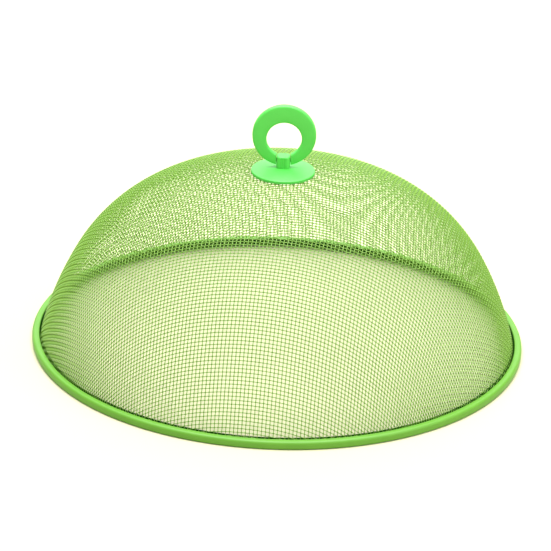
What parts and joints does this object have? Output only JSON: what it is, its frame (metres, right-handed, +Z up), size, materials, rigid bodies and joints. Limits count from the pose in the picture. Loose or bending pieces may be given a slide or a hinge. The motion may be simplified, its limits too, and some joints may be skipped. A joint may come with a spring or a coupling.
{
  "type": "domed mesh food cover",
  "caption": "Domed wire-mesh food cover with a rolled rim, standing open side down over a plate, lifted by a folding finger ring on top.",
  "frame": {"origin": "centre of the circle that the rim stands on, under the crown of the dome", "axes": "+Z up along the axis of the dome; +X along the ring handle's pivot; -Y towards the viewer of the picture"},
  "size_m": [0.35, 0.35, 0.1809],
  "materials": {
    "painted_cloth": "gloss paint on woven steel wire",
    "painted_rim": "gloss powder coat on rolled sheet steel",
    "handle_plastic": "moulded polypropylene, semi-gloss",
    "bare_steel": "bright zinc plate"
  },
  "bodies": {
    "cover": {"mesh_dome": "painted_cloth", "rim_band": "painted_rim", "rim_hoop": "painted_cloth", "handle_base": "handle_plastic", "backing_disc": "handle_plastic", "screw_washer": "bare_steel", "clamp_screw": "bare_steel"},
    "ring": {"ring_handle": "handle_plastic"}
  },
  "joints": [
    {"name": "ring_fold", "type": "hinge", "parent": "cover", "child": "ring", "pos_m": [0, 0, 0.13975], "axis": [1, 0, 0], "range_deg": [-100, 100]}
  ]
}
